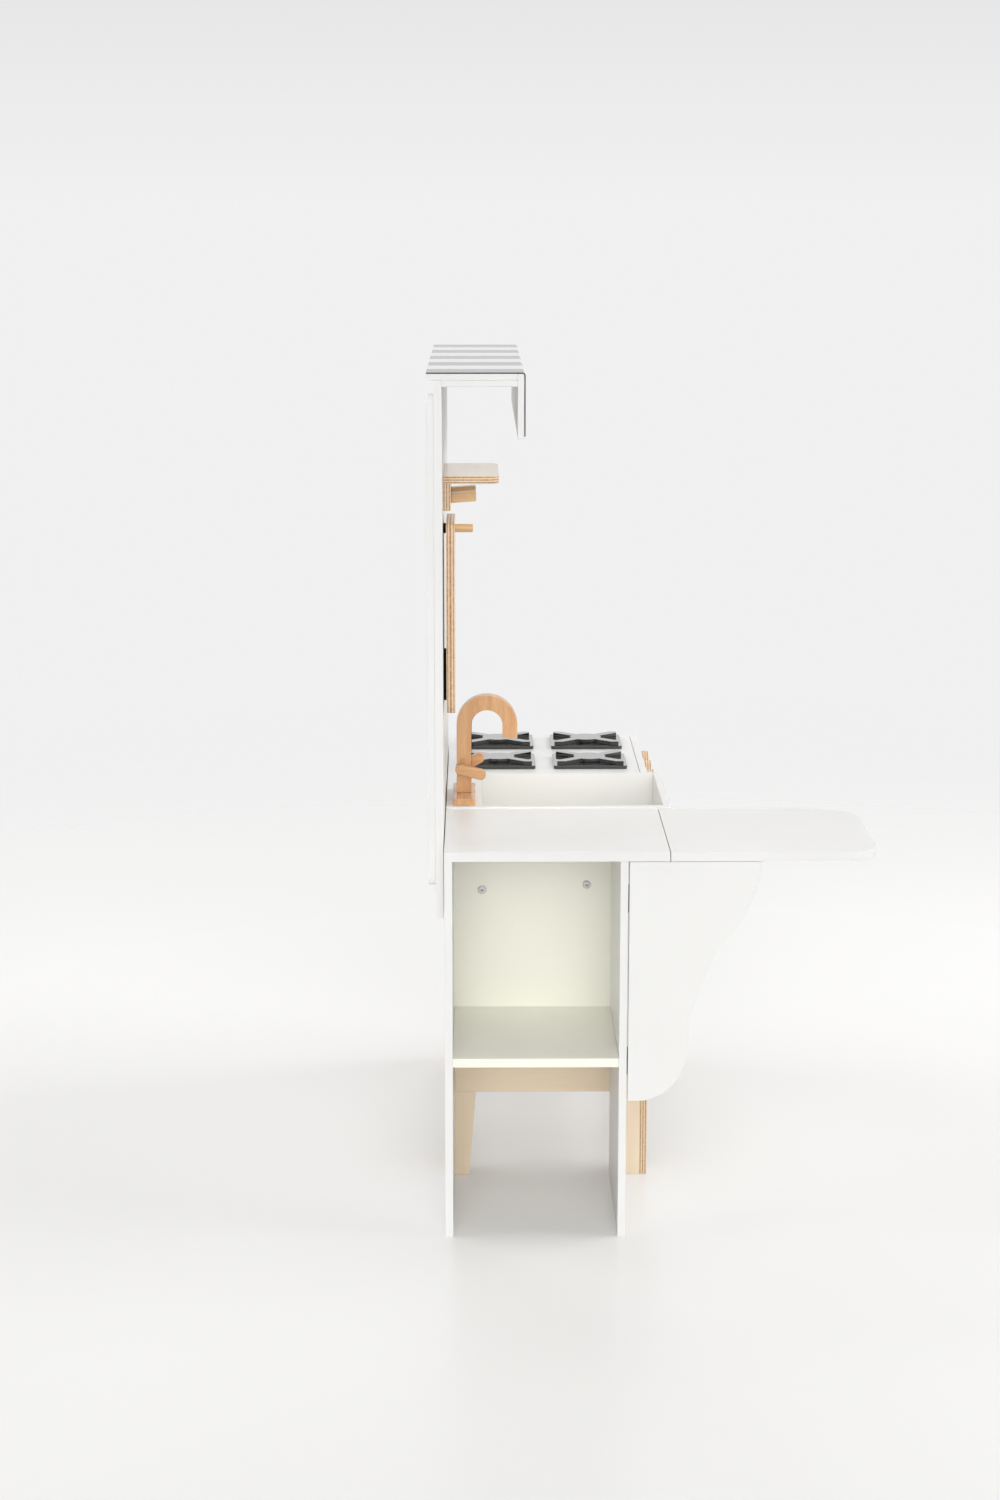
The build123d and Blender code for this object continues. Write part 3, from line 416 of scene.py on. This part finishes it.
def gloss_plastic(name, colour):
    """Moulded gloss plastic with faintly uneven colour and sheen."""
    made, tree, shader = new_material(name)
    cloud = noise(tree, place_of(tree), PLASTIC_CLOUDS)
    tone = blended(tree, cloud, colour, paler(colour, PLASTIC_PALER))
    join(tree, tone, shader.inputs["Base Color"])
    join(tree, ranged(tree, cloud, NOISE_SPAN, PLASTIC_ROUGH), shader.inputs["Roughness"])
    fix(shader, {"Coat Weight": 1.0, "Coat Roughness": PLASTIC_COAT_ROUGH})
    return made


def striped_film(name, low, high):
    """Glossy film with wide stripes across x and black cut edges."""
    made, tree, shader = new_material(name)
    place = place_of(tree)
    normal = add(tree, "ShaderNodeTexCoord").outputs["Normal"]
    along = ranged(tree, axis_value(tree, place, "X"), (low, high), (0.0, float(STRIPES)))
    odd = maths(tree, "MODULO", maths(tree, "FLOOR", along), 2.0)
    smudge = noise(tree, place, SMUDGES, FINE_DETAIL)
    ink = blended(tree, smudge, STRIPE_DARK, paler(STRIPE_DARK, INK_PALER))
    stripe = blended(tree, odd, ink, STRIPE_LIGHT)
    side = maths(tree, "ABSOLUTE", axis_value(tree, normal, "X"))
    cut = maths(tree, "GREATER_THAN", side, FILM_CUT_FACING)
    join(tree, blended(tree, cut, stripe, STRIPE_DARK), shader.inputs["Base Color"])
    gloss = ranged(tree, smudge, NOISE_SPAN, FILM_ROUGH)
    rough = maths(tree, "MAXIMUM", gloss, maths(tree, "MULTIPLY", cut, FILM_CUT_ROUGH))
    join(tree, rough, shader.inputs["Roughness"])
    return made


def metal(name, colour, rough):
    """Zinc-plated steel with fine scratches and painted shade in its recesses."""
    made, tree, shader = new_material(name)
    patch = noise(tree, place_of(tree), STEEL_PATCHES, FINE_DETAIL)
    tone = blended(tree, patch, colour, shaded(colour, STEEL_DULL))
    # painted shade: the colour darkens towards RECESS_SHADE where ambient occlusion finds a recess
    open_sky = add(tree, "ShaderNodeAmbientOcclusion", {"Distance": RECESS_REACH}).outputs["AO"]
    tone = blended(tree, ranged(tree, open_sky, RECESS_SPAN), RECESS_SHADE, tone)
    join(tree, tone, shader.inputs["Base Color"])
    fix(shader, {"Metallic": 1.0})
    sheen = ranged(tree, patch, NOISE_SPAN, (rough, rough + STEEL_ROUGH_RISE))
    join(tree, sheen, shader.inputs["Roughness"])
    scratches = noise(tree, stretched(tree, SCRATCH_SCALE))
    bumped(tree, shader, scratches, SCRATCH_DEPTH, SCRATCH_WEIGHT)
    return made


def clear_sheet(name):
    """Clear acrylic with a hint of grey dust."""
    made, tree, shader = new_material(name)
    dust = noise(tree, place_of(tree), DUST, FINE_DETAIL)
    join(tree, blended(tree, dust, ACRYLIC_CLEAN, ACRYLIC_DUSTY), shader.inputs["Base Color"])
    join(tree, ranged(tree, dust, DUST_SPAN, ACRYLIC_ROUGH), shader.inputs["Roughness"])
    fix(shader, {"Transmission Weight": ACRYLIC_CLEAR, "IOR": ACRYLIC_IOR})
    return made


def rubber(name):
    """Matt black rubber, or nylon that looks the same."""
    made, tree, shader = new_material(name)
    fine = noise(tree, place_of(tree), RUBBER_GRAIN)
    join(tree, blended(tree, fine, RUBBER_DARK, RUBBER_LIGHT), shader.inputs["Base Color"])
    join(tree, ranged(tree, fine, NOISE_SPAN, RUBBER_ROUGH), shader.inputs["Roughness"])
    bumped(tree, shader, fine, RUBBER_DEPTH, RUBBER_BUMP)
    return made


def dress(node, made):
    """Gives a node's object one material."""
    slots = parts[node].data.materials
    slots.clear()
    slots.append(made)


def soften(node, width=EDGE_ROUND, steps=ROUND_STEPS):
    """Rounds a node's sharp edges a little, as sanding and paint do."""
    weld = parts[node].modifiers.new("weld", "WELD")
    weld.merge_threshold = WELD_REACH
    flat = parts[node].modifiers.new("flat", "DECIMATE")
    flat.decimate_type = "DISSOLVE"
    flat.angle_limit = FLAT_ANGLE
    bevel = parts[node].modifiers.new("round", "BEVEL")
    bevel.width = width
    bevel.segments = steps
    bevel.limit_method = "ANGLE"
    bevel.angle_limit = ROUND_ANGLE
    bevel.harden_normals = True


white = painted_board("white_paint", WHITE_PAINT)
bounce_lit = painted_board("bounce_lit_white_paint", BOUNCE_LIT_PAINT)
steel = metal("zinc_steel", STEEL, STEEL_ROUGH)
bolt_steel = metal("bolt_steel", BOLT_STEEL, BOLT_ROUGH)
for node in WHITE_NODES:
    dress(node, white)
    soften(node, SEAM_ROUND if node in SEAM_NODES else EDGE_ROUND)
# the insides of the cubby and the sink take the brighter, yellower paint, which paints the bounce light
# in there
for node in BOUNCE_LIT_NODES:
    dress(node, bounce_lit)
    soften(node)
for node in STEEL_NODES:
    dress(node, steel)
for node in ("joining_bolts", "joining_nuts"):
    dress(node, bolt_steel)

black = gloss_plastic("black_plastic", BLACK_PLASTIC)
dress("burner_plates", black)
dress("burner_grates", black)
soften("burner_plates", BURNER_ROUND, FINE_STEPS)
soften("burner_grates", GRATE_ROUND, FINE_STEPS)

film_low, film_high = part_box("canopy_film")
dress("canopy_film", striped_film("striped_film", film_low[0], film_high[0]))
dress("oven_window", clear_sheet("clear_acrylic"))
dress("board_stops", rubber("black_rubber"))
dress("wall_spacers", rubber("dark_nylon"))


def span_of(node, axis):
    """An axis with the middle and half the length of a node along it."""
    low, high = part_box(node)
    index = "XYZ".index(axis)
    return axis, (low[index] + high[index]) / 2, (high[index] - low[index]) / 2


def sheet_of(node, thick, along, turned=None, edge_round=PLY_ROUND):
    """Plywood for a node whose sheets lie across one axis."""
    dress(node, plywood("ply_" + node, *span_of(node, thick), along, turned))
    soften(node, edge_round)


sheet_of("wall_shelf", "Z", "X")
sheet_of("peg_rail", "Y", "X")
sheet_of("cutting_board", "Y", "Z")
sheet_of("base_long_rails", "Y", "X")
sheet_of("base_side_rails", "X", "Y")
sheet_of("base_leg_plates", "X", "Z", span_of("base_leg_plates", "Y"), LEG_ROUND)
for node in ("knob_left", "knob_middle", "knob_right"):
    sheet_of(node, "Y", "X")

beech_up = solid_wood("beech_upright", "Z", BEECH_LIGHT, BEECH_DARK, BEECH_ROUGH)
beech_back = solid_wood("beech_along_y", "Y", BEECH_LIGHT, BEECH_DARK, BEECH_ROUGH)
beech_across = solid_wood("beech_along_x", "X", BEECH_LIGHT, BEECH_DARK, BEECH_ROUGH)
dress("faucet_spout", beech_up)
for node in ("lever_left", "lever_right", "cupboard_knob"):
    dress(node, beech_back)
dress("wall_pegs", solid_wood("pine_along_y", "Y", PINE_LIGHT, PINE_DARK, PINE_ROUGH))
for node in ("faucet_base", "faucet_axle", "oven_handle"):
    dress(node, beech_across)
for node in ("faucet_spout", "lever_left", "lever_right"):
    soften(node, FAUCET_ROUND, FINE_STEPS)
for node in ("faucet_base", "wall_pegs"):
    soften(node, EDGE_ROUND, FINE_STEPS)


def facing_place(place, facing):
    """A frame at a place whose z axis points the way a head faces."""
    return Matrix.Translation(place) @ Vector(facing).to_track_quat("Z", "Y").to_matrix().to_4x4()


def points_at(bm, where, outline, height):
    """Points of a flat outline at a height in a frame."""
    return [bm.verts.new(where @ Vector((x, y, height))) for x, y in outline]


def ring_of(bm, where, radius, height):
    """A ring of points round a frame's z axis."""
    turns = [math.tau * index / HEAD_SIDES for index in range(HEAD_SIDES)]
    circle = [(radius * math.cos(turn), radius * math.sin(turn)) for turn in turns]
    return points_at(bm, where, circle, height)


def walled(bm, lower, upper):
    """Faces between two rings of the same length."""
    for index in range(len(lower)):
        after = (index + 1) % len(lower)
        bm.faces.new((lower[index], lower[after], upper[after], upper[index]))


def cross_head(bm, where):
    """Adds a low screw head with a cross recess to a mesh."""
    brim = ring_of(bm, where, SCREW_BRIM, SCREW_RISE)
    waist = ring_of(bm, where, SCREW_RADIUS, SCREW_WAIST)
    walled(bm, ring_of(bm, where, SCREW_RADIUS, 0.0), waist)
    walled(bm, waist, brim)
    quarter = [(CROSS_ARM, -CROSS_HALF), (CROSS_ARM, CROSS_HALF), (CROSS_HALF, CROSS_HALF)]
    outline = []
    for _ in range(4):
        outline.extend(quarter)
        quarter = [(-y, x) for x, y in quarter]
    lip = points_at(bm, where, outline, SCREW_RISE)
    narrower = [(CROSS_TAPER * x, CROSS_TAPER * y) for x, y in outline]
    pit = points_at(bm, where, narrower, CROSS_FLOOR)
    walled(bm, lip, pit)
    bm.faces.new(pit)
    loops = [bm.edges.get(pair) for ring in (brim, lip) for pair in zip(ring, ring[1:] + ring[:1])]
    bmesh.ops.triangle_fill(bm, edges=loops, use_beauty=True)


def plug_head(bm, where):
    """Adds a low domed wooden plug with a fine groove round it to a mesh."""
    rings = [ring_of(bm, where, out * PLUG_RADIUS, up * PLUG_RADIUS) for out, up in PLUG_PROFILE]
    for lower, upper in zip(rings, rings[1:]):
        walled(bm, lower, upper)
    bm.faces.new(rings[-1])


def small_piece(name, places, make, made, body):
    """One piece of small heads at (place, facing) pairs, riding on a body."""
    bm = bmesh.new()
    for place, facing in places:
        make(bm, facing_place(place, facing))
    bmesh.ops.recalc_face_normals(bm, faces=bm.faces)
    mesh = bpy.data.meshes.new(name)
    bm.to_mesh(mesh)
    bm.free()
    mesh.materials.append(made)
    piece = bpy.data.objects.new(name, mesh)
    bpy.context.scene.collection.objects.link(piece)
    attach(piece, body)


def screw_rows(low, high):
    """Places of the screws along two hinges that end at low and at high."""
    steps = (-SCREW_PITCH, 0.0, SCREW_PITCH)
    return [middle + step for middle in (low + HINGE_HALF, high - HINGE_HALF) for step in steps]


def fasteners():
    """Screw heads on the hinges, and the plug on the spout above the levers' axle."""
    low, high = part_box("bracket_hinge_flaps")
    axis_x = high[0] - HINGE_KNUCKLE
    axis_y = high[1] - HINGE_KNUCKLE
    heights = screw_rows(low[2], high[2])
    on_bracket = [((axis_x - HINGE_FACE, axis_y - SCREW_AWAY, z), (1, 0, 0)) for z in heights]
    on_cabinet = [((axis_x + SCREW_AWAY, axis_y + HINGE_FACE, z), (0, -1, 0)) for z in heights]

    low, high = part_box("leaf_hinge_flaps")
    axis_y = high[1] - HINGE_KNUCKLE
    across = screw_rows(low[0], high[0])
    on_leaf = [((x, axis_y - SCREW_AWAY, low[2]), (0, 0, -1)) for x in across]
    on_cabinet += [((x, axis_y + SCREW_AWAY, low[2]), (0, 0, -1)) for x in across]

    small_piece("bracket_hinge_screws", on_bracket, cross_head, steel, "bracket")
    small_piece("leaf_hinge_screws", on_leaf, cross_head, steel, "leaf")
    small_piece("hinge_plate_screws", on_cabinet, cross_head, steel, "cabinet")

    low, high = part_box("faucet_spout")
    place = (low[0], high[1] - PLUG_FORWARD, low[2] + PLUG_UP)
    small_piece("spout_plug", [(place, (-1, 0, 0))], plug_head, beech_back, "cabinet")


def pale_floor():
    """A pale floor that fades into the backdrop."""
    mesh = bpy.data.meshes.new("floor")
    reach = FLOOR_REACH
    corners = [(-reach, -reach, 0), (reach, -reach, 0), (reach, reach, 0), (-reach, reach, 0)]
    mesh.from_pydata(corners, [], [(0, 1, 2, 3)])
    floor = bpy.data.objects.new("floor", mesh)
    bpy.context.scene.collection.objects.link(floor)
    made, tree, shader = new_material("floor_white")
    fix(shader, {"Base Color": (*FLOOR_COLOUR, 1.0), "Emission Color": (*PURE_WHITE, 1.0)})
    fix(shader, {"Roughness": FLOOR_ROUGH, "Specular IOR Level": FLOOR_SHINE})
    direct = add(tree, "ShaderNodeLightPath").outputs["Is Camera Ray"]
    join(tree, maths(tree, "MULTIPLY", direct, FLOOR_GLOW), shader.inputs["Emission Strength"])
    away = add(tree, "ShaderNodeVectorMath", operation="LENGTH")
    join(tree, place_of(tree), away.inputs[0])
    fade = ranged(tree, away.outputs["Value"], FLOOR_FADE)
    clear = add(tree, "ShaderNodeBsdfTransparent")
    edge = add(tree, "ShaderNodeMixShader")
    join(tree, fade, edge.inputs[0])
    join(tree, shader.outputs[0], edge.inputs[1])
    join(tree, clear.outputs[0], edge.inputs[2])
    join(tree, edge.outputs[0], tree.nodes["Material Output"].inputs["Surface"])
    mesh.materials.append(made)


def soft_sky():
    """A pale backdrop for the camera and for reflections, and soft light for matt surfaces."""
    world = bpy.data.worlds.new("studio")
    bpy.context.scene.world = world
    world.use_nodes = True
    tree = world.node_tree
    sky = tree.nodes["Background"]
    fix(sky, {"Color": (*PURE_WHITE, 1.0)})
    path = add(tree, "ShaderNodeLightPath")
    seen = maths(tree, "MAXIMUM", path.outputs["Is Camera Ray"], path.outputs["Is Glossy Ray"])
    seen = maths(tree, "MAXIMUM", seen, path.outputs["Is Transmission Ray"])
    around = add(tree, "ShaderNodeTexCoord").outputs["Generated"]
    rise = axis_value(tree, around, "Z")
    backdrop = ranged(tree, rise, (0.0, SKY_RISE[0]), (SKY_HORIZON, SKY_ABOVE))
    backdrop = maths(tree, "MAXIMUM", backdrop, ranged(tree, rise, SKY_RISE, (SKY_ABOVE, SKY_TOP)))
    upper = maths(tree, "GREATER_THAN", rise, 0.0)
    light = SKY_LIGHT
    for way, strength in GLOWS:
        facing = add(tree, "ShaderNodeVectorMath", {1: way}, operation="DOT_PRODUCT")
        join(tree, around, facing.inputs[0])
        towards = maths(tree, "MULTIPLY", maths(tree, "MAXIMUM", facing.outputs["Value"], 0.0), upper)
        glow = maths(tree, "MULTIPLY", maths(tree, "POWER", towards, GLOW_FOCUS), strength)
        light = maths(tree, "ADD", glow, light)
    level = add(tree, "ShaderNodeMix")
    join(tree, light, level.inputs[2])
    join(tree, seen, level.inputs[0])
    join(tree, backdrop, level.inputs[3])
    join(tree, level.outputs[0], sky.inputs["Strength"])


def soft_lamps():
    """Wide lamps, high enough to stay out of the reflections in the tops."""
    for name, (place, size, power) in LAMPS.items():
        lamp = bpy.data.lights.new(name, "AREA")
        lamp.shape = "RECTANGLE"
        lamp.size, lamp.size_y = size
        lamp.energy = power
        holder = bpy.data.objects.new(name, lamp)
        holder.location = place
        holder.rotation_euler = (Vector(LAMP_AIM) - Vector(place)).to_track_quat("-Z", "Y").to_euler()
        bpy.context.scene.collection.objects.link(holder)


def photo_camera():
    """The camera at the photograph's angle."""
    data = bpy.data.cameras.new("photo_camera")
    data.lens = CAMERA_LENS
    data.sensor_width = CAMERA_SENSOR
    data.sensor_fit = "AUTO"
    data.clip_end = CAMERA_REACH
    camera = bpy.data.objects.new("photo_camera", data)
    level = math.cos(CAMERA_TILT)
    look = Vector((level * math.cos(CAMERA_YAW), -level * math.sin(CAMERA_YAW), -math.sin(CAMERA_TILT)))
    camera.location = CAMERA_PLACE
    camera.rotation_euler = look.to_track_quat("-Z", "Y").to_euler()
    bpy.context.scene.collection.objects.link(camera)
    bpy.context.scene.camera = camera


fasteners()
pale_floor()
soft_sky()
soft_lamps()
photo_camera()
bpy.context.scene.view_settings.view_transform = "Standard"
